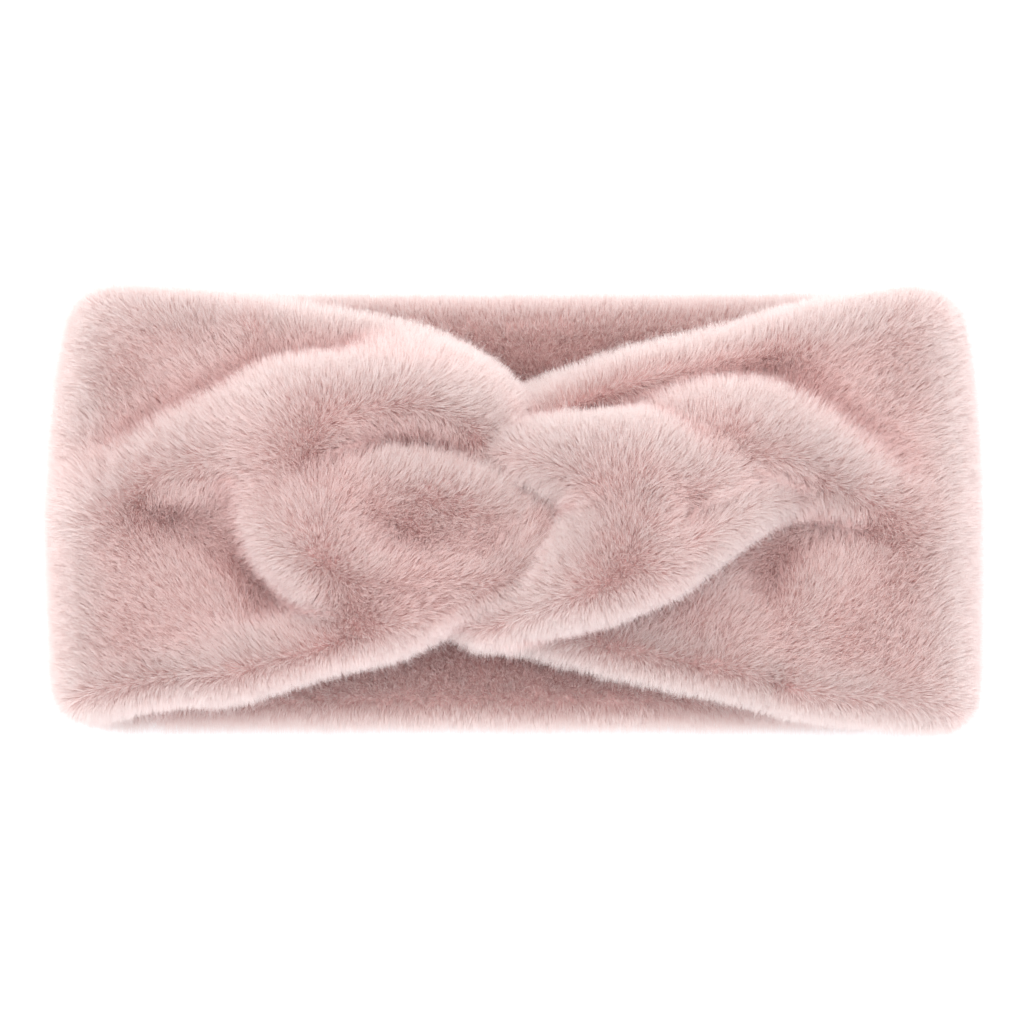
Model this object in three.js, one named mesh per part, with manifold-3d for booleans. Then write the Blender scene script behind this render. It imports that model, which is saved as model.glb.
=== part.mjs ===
// Twist-front plush headband, laid flat with its knot on top.
// Millimetres, +X along the band, +Y across it, +Z up; the origin is under the middle of the band.
import * as THREE from 'three';
import { ParametricGeometry } from 'three/addons/geometries/ParametricGeometry.js';
import * as BufferGeometryUtils from 'three/addons/utils/BufferGeometryUtils.js';
import Module from 'manifold-3d';

const wasm = await Module();
wasm.setup();

// Driving dimensions.
const LENGTH = 230; // side fold to side fold
const WIDTH = 110; // the band's full height on the head
const KNOT_HEIGHT = 57; // floor to the top of the knot
const BACK_DEPTH = 12; // one flattened plush tube
const HEAD_GAP = 6; // what is left between back and front when the band lies flat
const FRONT_DEPTH = 18; // the two halves of a loop, one on the other
const SEAM_INSET = 24; // from a side fold to the seam on the underside
const FRONT_ARM = 12; // how far the stacked ends run in from the turn, over the front
const SEAM_GAP = 2.2; // between the sewn ends, where the thread runs
const CLEARANCE = 0.35; // between pieces that touch
const EDGE = 4; // rounding of the plush edges
const ELASTIC = { width: 20, depth: 1.2 };
const CHANNEL = { width: 22, depth: 2.4 };
const THREAD = { radius: 0.4, sway: 0.35, stitch: 6, inset: 0.02 };
const GROOVE = { width: 2.4, depth: 1.8 };

// Derived dimensions.
const HALF_LENGTH = LENGTH / 2;
const HALF_WIDTH = WIDTH / 2;
const SIDE_HEIGHT = BACK_DEPTH + HEAD_GAP + FRONT_DEPTH;
const FRONT_FLOOR = BACK_DEPTH + HEAD_GAP;
const SEAM_X = HALF_LENGTH - SEAM_INSET;
const BACK_HALF_WIDTH = HALF_WIDTH - 1;
const BACK_LENGTH = 2 * SEAM_X - SEAM_GAP;
// The knot is nearly four gathered layers deep.
const LAYER_DEPTH = (KNOT_HEIGHT - FRONT_FLOOR) / 3.8;
// The layer next to the head stays this much above the gap.
const LOWEST = 0.1;

const PLUSH = { color: 0xe3b3b2, roughness: 0.95, metalness: 0 };
const PLUSH_BACK = { color: 0xd9a4a3, roughness: 0.95, metalness: 0 };
const WOVEN = { color: 0xf2ece6, roughness: 0.8, metalness: 0 };
const COTTON = { color: 0xd99c9e, roughness: 0.7, metalness: 0 };

// A plain closed surface: positions only, shared corners, no triangle that has shrunk to a line.
function weld(geometry) {
  const bare = geometry.clone();
  bare.deleteAttribute('normal');
  bare.deleteAttribute('uv');
  const welded = BufferGeometryUtils.mergeVertices(bare, 1e-3);
  const corners = welded.index.array;
  const kept = [];
  for (let i = 0; i < corners.length; i += 3) {
    const [a, b, c] = corners.slice(i, i + 3);
    if (a !== b && b !== c && c !== a) kept.push(a, b, c);
  }
  welded.setIndex(kept);
  return welded;
}

function toSolid(geometry) {
  const welded = weld(geometry);
  return new wasm.Manifold(new wasm.Mesh({
    numProp: 3,
    vertProperties: new Float32Array(welded.attributes.position.array),
    triVerts: new Uint32Array(welded.index.array),
  }));
}

function toGeometry(solid) {
  const mesh = solid.getMesh();
  const geometry = new THREE.BufferGeometry();
  geometry.setAttribute('position', new THREE.BufferAttribute(mesh.vertProperties, 3));
  geometry.setIndex(new THREE.BufferAttribute(mesh.triVerts, 1));
  geometry.computeVertexNormals();
  return geometry;
}

// One place along a gathered strip: its middle, the way its width runs, and its half sizes.
// along and across are shares of the half length and half width of the band; height and
// halfDepth count in layers, height from the underside of the front.
function place(along, across, height, halfWidth, halfDepth, facing = [0, 1, 0]) {
  return {
    middle: new THREE.Vector3(
      along * HALF_LENGTH, across * HALF_WIDTH, FRONT_FLOOR + height * LAYER_DEPTH),
    facing: new THREE.Vector3(...facing),
    size: new THREE.Vector3(halfWidth * HALF_WIDTH, halfDepth * LAYER_DEPTH, 0),
  };
}

// A soft strip lofted through its places, oval across and rounded off at both ends.
// extra makes it bigger all round, for cutting room for it out of a neighbour.
function strip(places, extra = 0) {
  const middles = new THREE.CatmullRomCurve3(places.map((p) => p.middle));
  const facings = new THREE.CatmullRomCurve3(places.map((p) => p.facing));
  const sizes = new THREE.CatmullRomCurve3(places.map((p) => p.size));
  const endShare = 0.06;
  const aroundSteps = 16;
  const alongSteps = 22;
  const surface = (u, v, target) => {
    const middle = middles.getPoint(v);
    const heading = middles.getTangent(v);
    const size = sizes.getPoint(v);
    const across = facings.getPoint(v);
    across.addScaledVector(heading, -across.dot(heading)).normalize();
    const outward = new THREE.Vector3().crossVectors(heading, across);
    const fromEnd = Math.min(1, Math.min(v, 1 - v) / endShare);
    const fullness = Math.sqrt(1 - (1 - fromEnd) ** 2);
    const angle = 2 * Math.PI * u;
    target.copy(middle);
    target.addScaledVector(across, (size.x + extra) * fullness * Math.cos(angle));
    target.addScaledVector(outward, (size.y + extra) * fullness * Math.sin(angle));
  };
  return toSolid(new ParametricGeometry(surface, aroundSteps, alongSteps));
}

// The side fold: both ends of a loop wrap round from the front to the seam on the underside.
// sign is 1 for the right side and -1 for the left.
function sideFold(sign) {
  const outerRadius = SIDE_HEIGHT / 2;
  const innerRadius = HEAD_GAP / 2;
  const foldX = HALF_LENGTH - outerRadius;
  const frontEndX = foldX - FRONT_ARM;
  const undersideEndX = SEAM_X + SEAM_GAP / 2;
  const profile = new THREE.Shape();
  profile.moveTo(undersideEndX, 0);
  profile.lineTo(foldX, 0);
  profile.absarc(foldX, outerRadius, outerRadius, -Math.PI / 2, Math.PI / 2, false);
  profile.lineTo(frontEndX, SIDE_HEIGHT);
  profile.lineTo(frontEndX, FRONT_FLOOR);
  profile.lineTo(foldX, FRONT_FLOOR);
  profile.absarc(foldX, BACK_DEPTH + innerRadius, innerRadius, Math.PI / 2, -Math.PI / 2, true);
  profile.lineTo(undersideEndX, BACK_DEPTH);
  const geometry = new THREE.ExtrudeGeometry(profile, {
    depth: WIDTH - 2 * EDGE,
    bevelThickness: EDGE,
    bevelSize: EDGE,
    bevelOffset: -EDGE,
    bevelSegments: 3,
    curveSegments: 12,
  });
  geometry.rotateX(Math.PI / 2);
  geometry.translate(0, HALF_WIDTH - EDGE, 0);
  if (sign < 0) geometry.rotateZ(Math.PI);
  return toSolid(geometry);
}

// A box-shaped groove cut along a line of points in a face.
function groove(points) {
  const line = new THREE.CatmullRomCurve3(points);
  const across = GROOVE.width / 2;
  const section = new THREE.Shape([
    new THREE.Vector2(-GROOVE.depth, -across),
    new THREE.Vector2(GROOVE.depth, -across),
    new THREE.Vector2(GROOVE.depth, across),
    new THREE.Vector2(-GROOVE.depth, across),
  ]);
  return toSolid(new THREE.ExtrudeGeometry(section, { extrudePath: line, steps: 12 }));
}

// Sewing thread that sways from side to side along a line, half a stitch at a time.
function thread(points) {
  const line = new THREE.CatmullRomCurve3(points);
  const halfStitches = Math.round(line.getLength() / THREAD.stitch) * 2;
  const swayed = [];
  for (let i = 0; i <= halfStitches; i += 1) {
    const share = THREAD.inset + (1 - 2 * THREAD.inset) * (i / halfStitches);
    const at = line.getPointAt(share);
    const heading = line.getTangentAt(share);
    const sideways = new THREE.Vector3(-heading.y, heading.x, 0).normalize();
    swayed.push(at.addScaledVector(sideways, i % 2 ? THREAD.sway : -THREAD.sway));
  }
  const corners = [];
  const sides = 6;
  for (let i = 0; i < sides; i += 1) {
    const angle = (2 * Math.PI * i) / sides;
    corners.push(new THREE.Vector2(THREAD.radius * Math.cos(angle), THREAD.radius * Math.sin(angle)));
  }
  const path = new THREE.CatmullRomCurve3(swayed);
  return weld(new THREE.ExtrudeGeometry(new THREE.Shape(corners), {
    extrudePath: path, steps: halfStitches,
  }));
}

// The left loop passes over the right one, dives through it and comes back nearest the head.
const LEFT_OVER = [
  place(-0.91, 0.00, 0.95, 0.90, 0.58),
  place(-0.76, 0.00, 1.15, 0.92, 0.66),
  place(-0.58, -0.10, 1.60, 0.78, 0.90),
  place(-0.33, -0.10, 2.25, 0.54, 1.10),
  place(-0.12, -0.07, 2.85, 0.36, 0.66),
  place(0.04, -0.02, 2.55, 0.27, 0.55),
  place(0.09, 0.00, 1.70, 0.22, 0.50),
  place(0.03, 0.08, 0.58, 0.24, 0.42),
];
const LEFT_UNDER = [
  place(0.06, 0.04, LOWEST + 0.46, 0.20, 0.42),
  place(-0.04, 0.16, LOWEST + 0.46, 0.34, 0.46),
  place(-0.22, 0.28, LOWEST + 0.46, 0.54, 0.46),
  place(-0.50, 0.10, LOWEST + 0.48, 0.82, 0.48),
  place(-0.76, 0.00, LOWEST + 0.55, 0.92, 0.55),
  place(-0.91, 0.00, LOWEST + 0.60, 0.90, 0.55),
];
// The right loop lies on top, hooks round the left one and comes back through it.
const RIGHT_OVER = [
  place(0.91, 0.00, 0.95, 0.90, 0.58),
  place(0.76, 0.00, 1.15, 0.92, 0.66),
  place(0.60, 0.08, 1.65, 0.74, 0.92),
  place(0.36, 0.02, 2.55, 0.52, 1.20),
  place(0.17, -0.14, 3.00, 0.44, 0.85),
  place(0.01, -0.42, 2.50, 0.24, 0.65, [-0.5, 0.8, 0.3]),
  place(-0.09, -0.47, 1.90, 0.18, 0.50, [-0.3, 0.5, 0.8]),
];
const RIGHT_HOOK = [
  place(-0.06, -0.47, 1.85, 0.18, 0.42, [-1, 0.3, 0]),
  place(-0.09, -0.20, 1.62, 0.18, 0.40, [-1, 0, 0]),
  place(-0.08, 0.12, 1.62, 0.18, 0.40, [-1, 0, 0]),
  place(-0.01, 0.34, 1.55, 0.18, 0.40, [-0.8, 0.6, 0]),
  place(0.18, 0.38, 0.85, 0.24, 0.45),
  place(0.46, 0.22, LOWEST + 0.48, 0.66, 0.48),
  place(0.76, 0.00, LOWEST + 0.55, 0.92, 0.55),
  place(0.91, 0.00, LOWEST + 0.60, 0.90, 0.55),
];
const RIGHT_LOWER_EDGE = [
  place(-0.10, -0.46, 1.60, 0.12, 0.45),
  place(0.17, -0.50, 0.80, 0.20, 0.52),
  place(0.46, -0.42, LOWEST + 0.55, 0.46, 0.55),
  place(0.76, -0.30, LOWEST + 0.60, 0.62, 0.60),
  place(0.91, -0.30, LOWEST + 0.60, 0.58, 0.55),
];

// The closing seam of each tube runs along its face against the head.
function seamPoint(along, across) {
  const face = FRONT_FLOOR + LOWEST * LAYER_DEPTH;
  return new THREE.Vector3(along * HALF_LENGTH, across * HALF_WIDTH, face + THREAD.radius);
}
const LEFT_SEAM = [seamPoint(-0.68, 0.05), seamPoint(-0.50, 0.10), seamPoint(-0.28, 0.24)];
const RIGHT_SEAM = [seamPoint(0.34, 0.28), seamPoint(0.46, 0.22), seamPoint(0.68, 0.06)];
const BACK_SEAM = [-1, 0, 1].map((share) => new THREE.Vector3(
  share * SEAM_X, 0, BACK_DEPTH - THREAD.radius));

function leftLoop() {
  const ends = sideFold(-1);
  const whole = ends.add(strip(LEFT_OVER)).add(strip(LEFT_UNDER));
  return whole.subtract(groove(LEFT_SEAM));
}

// The right loop yields to the left one wherever they press on each other.
function rightLoop() {
  const ends = sideFold(1);
  const whole = ends.add(strip(RIGHT_OVER)).add(strip(RIGHT_HOOK)).add(strip(RIGHT_LOWER_EDGE));
  const room = strip(LEFT_OVER, CLEARANCE).add(strip(LEFT_UNDER, CLEARANCE));
  return whole.subtract(room).subtract(groove(RIGHT_SEAM));
}

// The back band is one flat tube with a channel through it for the elastic. Its edges are round
// but for a hair's breadth, so that no two arcs meet in a point.
function backBand() {
  const flat = 0.1;
  const radius = BACK_DEPTH / 2 - flat;
  const outline = new THREE.Shape();
  const cornerY = BACK_HALF_WIDTH - radius;
  outline.moveTo(-cornerY, 0);
  outline.lineTo(cornerY, 0);
  outline.absarc(cornerY, radius, radius, -Math.PI / 2, 0, false);
  outline.absarc(cornerY, BACK_DEPTH - radius, radius, 0, Math.PI / 2, false);
  outline.absarc(-cornerY, BACK_DEPTH - radius, radius, Math.PI / 2, Math.PI, false);
  outline.absarc(-cornerY, radius, radius, Math.PI, 1.5 * Math.PI, false);
  outline.holes.push(new THREE.Path(rectangle(CHANNEL.width, CHANNEL.depth)));
  return toSolid(alongBand(outline, BACK_LENGTH)).subtract(groove(BACK_SEAM));
}

// A rectangle in the band's own cross-section, at half its depth.
function rectangle(width, depth) {
  const low = (BACK_DEPTH - depth) / 2;
  return [
    new THREE.Vector2(-width / 2, low),
    new THREE.Vector2(width / 2, low),
    new THREE.Vector2(width / 2, low + depth),
    new THREE.Vector2(-width / 2, low + depth),
  ];
}

// Runs a cross-section (across the band, up) along the band.
function alongBand(outline, length) {
  const geometry = new THREE.ExtrudeGeometry(outline, {
    depth: length, bevelEnabled: false, curveSegments: 5,
  });
  geometry.translate(0, 0, -length / 2);
  geometry.rotateX(Math.PI / 2);
  geometry.rotateZ(Math.PI / 2);
  return geometry;
}

function backElastic() {
  const outline = new THREE.Shape(rectangle(ELASTIC.width, ELASTIC.depth));
  return weld(alongBand(outline, BACK_LENGTH));
}

// The thread between the loop's ends and the back band's end.
function sideSeam(sign) {
  const reach = HALF_WIDTH - 2 * EDGE;
  return thread([-1, 0, 1].map((share) => new THREE.Vector3(
    sign * SEAM_X, share * reach, BACK_DEPTH / 2)));
}

function part(name, geometry, finish) {
  const mesh = new THREE.Mesh(geometry, new THREE.MeshStandardMaterial(finish));
  mesh.name = name;
  return mesh;
}

const headband = new THREE.Group();
headband.add(
  part('left_loop', toGeometry(leftLoop()), PLUSH),
  part('right_loop', toGeometry(rightLoop()), PLUSH),
  part('back_band', toGeometry(backBand()), PLUSH_BACK),
  part('back_elastic', backElastic(), WOVEN),
  part('left_side_seam', sideSeam(-1), COTTON),
  part('right_side_seam', sideSeam(1), COTTON),
  part('left_loop_seam', thread(LEFT_SEAM), COTTON),
  part('right_loop_seam', thread(RIGHT_SEAM), COTTON),
  part('back_band_seam', thread(BACK_SEAM), COTTON),
);

export default headband;
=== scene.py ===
"""A twist-front plush headband lying flat, seen from straight above.

Each fur tube is sculpted as a signed-distance field: sheets and stuffed folds along curves, joined
softly. The field's zero surface becomes the mesh, and the pile is grown on it as hair curves.
Two loops that press on each other share the gap between them evenly, so neither cuts the other.
"""
import math

import bpy
import numpy as np
import openvdb
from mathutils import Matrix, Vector


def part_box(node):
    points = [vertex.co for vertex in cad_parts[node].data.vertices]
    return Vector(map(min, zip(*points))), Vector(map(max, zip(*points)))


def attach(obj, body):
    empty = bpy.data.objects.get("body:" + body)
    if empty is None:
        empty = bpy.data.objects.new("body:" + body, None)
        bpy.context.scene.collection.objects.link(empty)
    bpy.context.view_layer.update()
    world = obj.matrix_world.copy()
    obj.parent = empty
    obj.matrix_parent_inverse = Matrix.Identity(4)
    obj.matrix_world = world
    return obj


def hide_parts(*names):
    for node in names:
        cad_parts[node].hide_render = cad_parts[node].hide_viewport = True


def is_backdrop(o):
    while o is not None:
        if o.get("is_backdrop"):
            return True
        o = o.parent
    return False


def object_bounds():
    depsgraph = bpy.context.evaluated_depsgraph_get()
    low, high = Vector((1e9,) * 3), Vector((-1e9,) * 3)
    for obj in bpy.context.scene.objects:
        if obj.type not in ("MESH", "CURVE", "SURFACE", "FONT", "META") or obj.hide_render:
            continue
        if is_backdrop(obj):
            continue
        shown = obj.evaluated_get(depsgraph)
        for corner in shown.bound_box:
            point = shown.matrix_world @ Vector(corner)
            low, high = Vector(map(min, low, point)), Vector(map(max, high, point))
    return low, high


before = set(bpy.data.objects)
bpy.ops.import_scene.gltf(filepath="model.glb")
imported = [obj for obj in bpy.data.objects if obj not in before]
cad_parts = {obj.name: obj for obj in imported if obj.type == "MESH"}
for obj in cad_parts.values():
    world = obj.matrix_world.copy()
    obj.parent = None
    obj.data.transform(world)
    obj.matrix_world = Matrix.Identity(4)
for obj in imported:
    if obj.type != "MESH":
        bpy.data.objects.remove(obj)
cad_low, cad_high = (np.array(corner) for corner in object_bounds())

# ---------------------------------------------------------------- sizes and places, from the frame
MM = 0.001
HALF_LENGTH = (cad_high[0] - cad_low[0]) / 2
HALF_WIDTH = (cad_high[1] - cad_low[1]) / 2
BACK_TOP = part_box("back_band")[1][2]
BACK_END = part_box("back_band")[1][0]
ELASTIC_LOW, ELASTIC_HIGH = (np.array(corner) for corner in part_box("back_elastic"))

VOXEL = 0.75 * MM
GRID_MARGIN = 8 * MM         # empty space kept round the object
PILE_PROUD = 4.2 * MM        # how far the backing lies inside the pile's outside
CONTACT_GAP = 0.5 * MM       # left between two plush pieces that press on each other

# Each loop's two ends lie stacked at its side, the thicker one on top: the height of each layer's
# middle, and half its thickness.
TOP_LAYER, TOP_HALF = 26.2 * MM, 7.3 * MM
LOW_LAYER, LOW_HALF = 6.2 * MM, 4.9 * MM
SIDE_ARM = 24 * MM           # how far the top layer's round edge runs in from the side
SIDE_EDGE_RADIUS = 3.6 * MM
SIDE_SOFTNESS = 4 * MM       # how softly the side runs into the sheet
SIDE_CROWN = 3.5 * MM        # how much taller than wide the side's outer round is
SHEET_EDGE_RADIUS = 6 * MM
SEAM_ROOM = 1.8 * MM         # between the back band's end and a loop's lower layer
BAND_GROUND_GAP = 0.8 * MM   # under and over the back band's backing
ELASTIC_PLAY = 0.9 * MM      # round the elastic in its channel
HOLLOW_START = 26 * MM       # hollows fade in over this height, so they leave the underside alone
HOLLOW_FADE = 4 * MM
FOLD_FULLNESS = 2.5          # 2 makes a fold's section an ellipse, more makes it a fuller pillow
LEAST_SLOPE = 0.2            # keeps the distance finite near a fold's middle
WELL_INSIDE = -1.0           # a distance deeper than any piece


def place(along, across, height, half_width, half_depth):
    """A place on a fold: shares of the half length and half width, then millimetres."""
    return along * HALF_LENGTH, across * HALF_WIDTH, height * MM, half_width * MM, half_depth * MM


def edge(along, upper, lower, height, half_depth):
    """A place on a sheet: where it is, its upper and lower edges, then its height and half depth."""
    return (along * HALF_LENGTH, upper * HALF_WIDTH, lower * HALF_WIDTH, height * MM, half_depth * MM)


# The left loop lies over the right one at the lower edge, and under the right one's lobe.
LEFT_SHEET = [
    edge(-1.00, 1.00, -0.96, 26.2, 7.3),
    edge(-0.78, 0.99, -0.86, 26.0, 7.2),
    edge(-0.57, 0.96, -0.80, 25.6, 7.0),
    edge(-0.40, 0.92, -0.70, 25.2, 6.5),
    edge(-0.24, 0.845, -0.59, 24.8, 6.0),
    edge(-0.09, 0.71, -0.47, 24.4, 5.6),
    edge(0.00, 0.51, -0.39, 24.0, 5.2),
    edge(0.05, 0.32, -0.31, 24.0, 5.0),
]
RIGHT_SHEET = [
    edge(-0.13, 0.32, -0.57, 25.0, 5.0),
    edge(0.00, 0.50, -0.635, 25.4, 5.4),
    edge(0.19, 0.665, -0.735, 25.8, 6.0),
    edge(0.40, 0.775, -0.825, 26.0, 6.5),
    edge(0.62, 0.88, -0.91, 26.0, 7.0),
    edge(0.83, 0.955, -0.955, 26.0, 7.2),
    edge(1.00, 1.005, -0.985, 26.2, 7.3),
]
# Each fold: how softly it joins what is under it, in millimetres, and its places.
LEFT_FOLDS = {
    # The long crest from the side up and over towards the knot.
    "roll": (4.0, [
        place(-1.015, -0.070, 28.0, 3.4, 6.0),
        place(-0.935, 0.005, 29.0, 4.9, 7.0),
        place(-0.860, 0.090, 29.5, 5.9, 7.5),
        place(-0.775, 0.190, 31.5, 6.9, 8.5),
        place(-0.680, 0.275, 33.0, 7.3, 9.0),
        place(-0.610, 0.335, 34.0, 7.3, 9.5),
        place(-0.495, 0.415, 35.5, 7.0, 10.0),
        place(-0.375, 0.490, 36.5, 6.5, 10.0),
        place(-0.240, 0.530, 37.0, 6.0, 9.5),
        place(-0.125, 0.485, 36.0, 5.4, 9.0),
        place(-0.045, 0.375, 33.0, 4.2, 7.0),
    ]),
    # The slope below the roll.
    "skirt": (9.0, [
        place(-0.840, 0.020, 27.5, 7.0, 6.5),
        place(-0.650, 0.230, 29.5, 8.0, 8.0),
        place(-0.485, 0.370, 33.0, 8.8, 8.0),
        place(-0.275, 0.400, 32.0, 8.8, 7.5),
        place(-0.095, 0.360, 31.5, 6.8, 7.0),
    ]),
    # The round part that the right loop holds.
    "lobe": (3.0, [
        place(-0.325, 0.105, 37.0, 9.0, 8.7),
        place(-0.260, 0.070, 38.5, 10.5, 9.2),
        place(-0.170, 0.015, 38.8, 11.5, 9.2),
        place(-0.080, -0.045, 37.5, 11.5, 9.0),
        place(0.000, -0.100, 35.0, 10.5, 8.0),
        place(0.050, -0.080, 34.0, 8.5, 8.0),
    ]),
    # The lobe's lower half.
    "lower_lobe": (9.0, [
        place(-0.400, -0.100, 36.0, 9.5, 8.8),
        place(-0.240, -0.180, 36.5, 9.0, 8.5),
        place(-0.095, -0.230, 36.0, 7.5, 8.5),
        place(0.000, -0.230, 34.0, 6.4, 8.0),
    ]),
    # Fills in between the roll and the upper edge.
    "upper_rim": (9.0, [
        place(-0.290, 0.640, 29.5, 4.0, 6.5),
        place(-0.190, 0.600, 31.0, 4.2, 6.5),
        place(-0.105, 0.520, 31.0, 3.8, 6.0),
        place(-0.035, 0.420, 30.0, 3.0, 5.5),
    ]),
    # The round turn beyond the lobe.
    "shoulder": (13.0, [
        place(-0.460, 0.360, 36.0, 8.5, 9.0),
        place(-0.470, 0.145, 36.0, 9.0, 9.0),
        place(-0.450, -0.085, 35.0, 8.5, 8.5),
        place(-0.370, -0.270, 32.5, 7.8, 8.0),
        place(-0.280, -0.400, 30.0, 5.8, 7.0),
    ]),
    # The thick lower edge, down into the knot.
    "lower_rim": (8.0, [
        place(-0.635, -0.675, 27.0, 3.4, 5.0),
        place(-0.380, -0.535, 29.5, 4.9, 6.0),
        place(-0.165, -0.370, 32.0, 5.4, 6.5),
        place(0.000, -0.235, 33.5, 4.9, 6.5),
    ]),
}
RIGHT_FOLDS = {
    # The raised upper edge.
    "upper_rim": (8.0, [
        place(0.030, 0.410, 28.0, 2.4, 5.0),
        place(0.180, 0.535, 28.3, 2.8, 5.2),
        place(0.350, 0.645, 28.5, 3.2, 5.2),
        place(0.520, 0.735, 28.2, 3.4, 5.0),
        place(0.680, 0.800, 27.2, 3.6, 5.0),
        place(0.840, 0.840, 25.6, 3.6, 5.0),
    ]),
    # The crest that curves down beyond the lobe.
    "outer_roll": (8.0, [
        place(0.265, 0.330, 31.0, 4.4, 6.0),
        place(0.360, 0.405, 34.0, 5.4, 8.0),
        place(0.465, 0.425, 36.0, 5.9, 8.5),
        place(0.560, 0.350, 35.0, 6.4, 8.0),
        place(0.660, 0.200, 32.5, 6.4, 7.5),
        place(0.755, 0.085, 30.0, 5.6, 7.0),
        place(0.850, -0.010, 27.5, 5.0, 6.0),
    ]),
    # Between the lobe and the outer roll.
    "web": (9.0, [
        place(0.390, 0.300, 36.0, 6.5, 10.0),
        place(0.500, 0.290, 38.0, 7.5, 10.5),
        place(0.610, 0.210, 36.0, 7.0, 9.0),
        place(0.700, 0.120, 32.5, 5.5, 7.0),
    ]),
    # The largest bulge, which runs out to a tongue.
    "lobe": (4.0, [
        place(0.660, 0.120, 33.0, 2.5, 4.0),
        place(0.583, 0.104, 35.5, 4.5, 7.0),
        place(0.512, 0.110, 38.5, 7.3, 10.0),
        place(0.450, 0.095, 40.5, 10.8, 11.0),
        place(0.395, 0.080, 41.5, 13.8, 11.5),
        place(0.302, 0.035, 42.5, 18.0, 11.5),
    ]),
    # Its upper end, which hooks over the left loop.
    "horn": (6.0, [
        place(0.260, 0.175, 42.5, 11.0, 11.5),
        place(0.190, 0.210, 42.0, 9.8, 11.0),
        place(0.113, 0.240, 40.5, 7.3, 10.0),
        place(0.052, 0.260, 38.5, 4.8, 8.5),
        place(-0.010, 0.285, 36.0, 3.2, 7.0),
        place(-0.035, 0.300, 34.0, 2.5, 6.0),
    ]),
    # Its lower end, which goes under the left loop.
    "tail": (6.0, [
        place(0.250, -0.130, 42.5, 11.5, 11.5),
        place(0.170, -0.245, 41.5, 10.3, 11.0),
        place(0.104, -0.335, 39.5, 7.3, 10.0),
        place(0.052, -0.400, 36.5, 4.6, 8.5),
        place(-0.010, -0.455, 33.0, 3.2, 6.5),
        place(-0.070, -0.500, 30.0, 2.6, 5.0),
    ]),
}
# Hollows in the upper face: width and depth in millimetres, and the points that each runs through.
LEFT_HOLLOWS = [
    (9.0, 2.8, [(-0.73, 0.03), (-0.67, -0.10), (-0.60, -0.24), (-0.52, -0.36)]),
    (12.0, 4.5, [(-0.24, -0.06), (-0.10, -0.15)]),
    (5.0, 1.4, [(-0.64, 0.80), (-0.46, 0.775), (-0.30, 0.76)]),
]
RIGHT_HOLLOWS = [
    (5.0, 1.5, [(0.335, 0.07), (0.345, -0.06), (0.325, -0.16)]),
    (4.5, 2.8, [(0.38, 0.00), (0.45, 0.075), (0.54, 0.13), (0.62, 0.15)]),
    (7.0, 2.0, [(0.16, 0.45), (0.28, 0.52), (0.37, 0.585), (0.46, 0.63), (0.56, 0.66)]),
    (8.0, 4.0, [(0.69, -0.04), (0.62, -0.14), (0.53, -0.28)]),
]
# How far each side fold draws in at its upper and lower corner, in millimetres.
LEFT_BOW = (6.3, 1.6)
RIGHT_BOW = (5.2, 0.3)


# ---------------------------------------------------------------- noise
NOISE_CELLS = 32             # after which soft_noise repeats
TUFT_CELLS = 64              # after which nearest_tuft repeats


def corner_steps():
    """The eight corners of a cell."""
    return [(dx, dy, dz) for dx in (0, 1) for dy in (0, 1) for dz in (0, 1)]


def corner_share(part, corner):
    """How much each corner of a cell counts for points at the given part of the cell."""
    share = np.ones(len(part))
    for axis in range(3):
        share = share * (part[:, axis] if corner[axis] else 1 - part[:, axis])
    return share


def soft_noise(points, size, seed):
    """Smooth noise from -1 to 1 at each point, with features of the given size."""
    lattice = np.random.default_rng(seed).uniform(-1, 1, (NOISE_CELLS, NOISE_CELLS, NOISE_CELLS))
    scaled = points / size
    cell = np.floor(scaled).astype(np.int64)
    part = scaled - cell
    part = part * part * (3 - 2 * part)
    total = np.zeros(len(points))
    for corner in corner_steps():
        i, j, k = ((cell + corner) % NOISE_CELLS).T
        total += corner_share(part, corner) * lattice[i, j, k]
    return total


def noise_vectors(points, size, seeds):
    """Smooth noise in three directions, one seed for each."""
    return np.stack([soft_noise(points, size, seed) for seed in seeds], axis=1)


def nearest_tuft(points, size, seed):
    """The middle of each point's tuft: the nearest point of a jittered lattice."""
    jitter = np.random.default_rng(seed).uniform(0, 1, (TUFT_CELLS, TUFT_CELLS, TUFT_CELLS, 3))
    cell = np.floor(points / size).astype(np.int64)
    best = np.full(len(points), np.inf)
    centres = np.zeros_like(points)
    for step in [(dx, dy, dz) for dx in (-1, 0, 1) for dy in (-1, 0, 1) for dz in (-1, 0, 1)]:
        near = cell + step
        i, j, k = (near % TUFT_CELLS).T
        spot = (near + jitter[i, j, k]) * size
        distance = ((spot - points) ** 2).sum(axis=1)
        closer = distance < best
        best[closer] = distance[closer]
        centres[closer] = spot[closer]
    return centres


# ---------------------------------------------------------------- fields
class Grid:
    """A voxel grid: 2D arrays of x and y for its columns, a 1D array of heights, and sampling."""

    def __init__(self, low, high):
        self.low = np.array(low)
        counts = [int(math.ceil(side / VOXEL)) + 1 for side in np.array(high) - self.low]
        axes = [self.low[i] + VOXEL * np.arange(counts[i]) for i in range(3)]
        self.x, self.y = (a.astype(np.float32) for a in np.meshgrid(axes[0], axes[1], indexing="ij"))
        self.z = axes[2].astype(np.float32)
        self.last_place = np.array(counts) - 1.001    # just inside the last cell

    def sample(self, field, points):
        """The field at any points, by linear interpolation."""
        scaled = np.clip((points - self.low) / VOXEL, 0, self.last_place)
        cell = scaled.astype(np.int64)
        part = scaled - cell
        total = np.zeros(len(points))
        for corner in corner_steps():
            i, j, k = (cell + corner).T
            total += corner_share(part, corner) * field[i, j, k]
        return total


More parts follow.
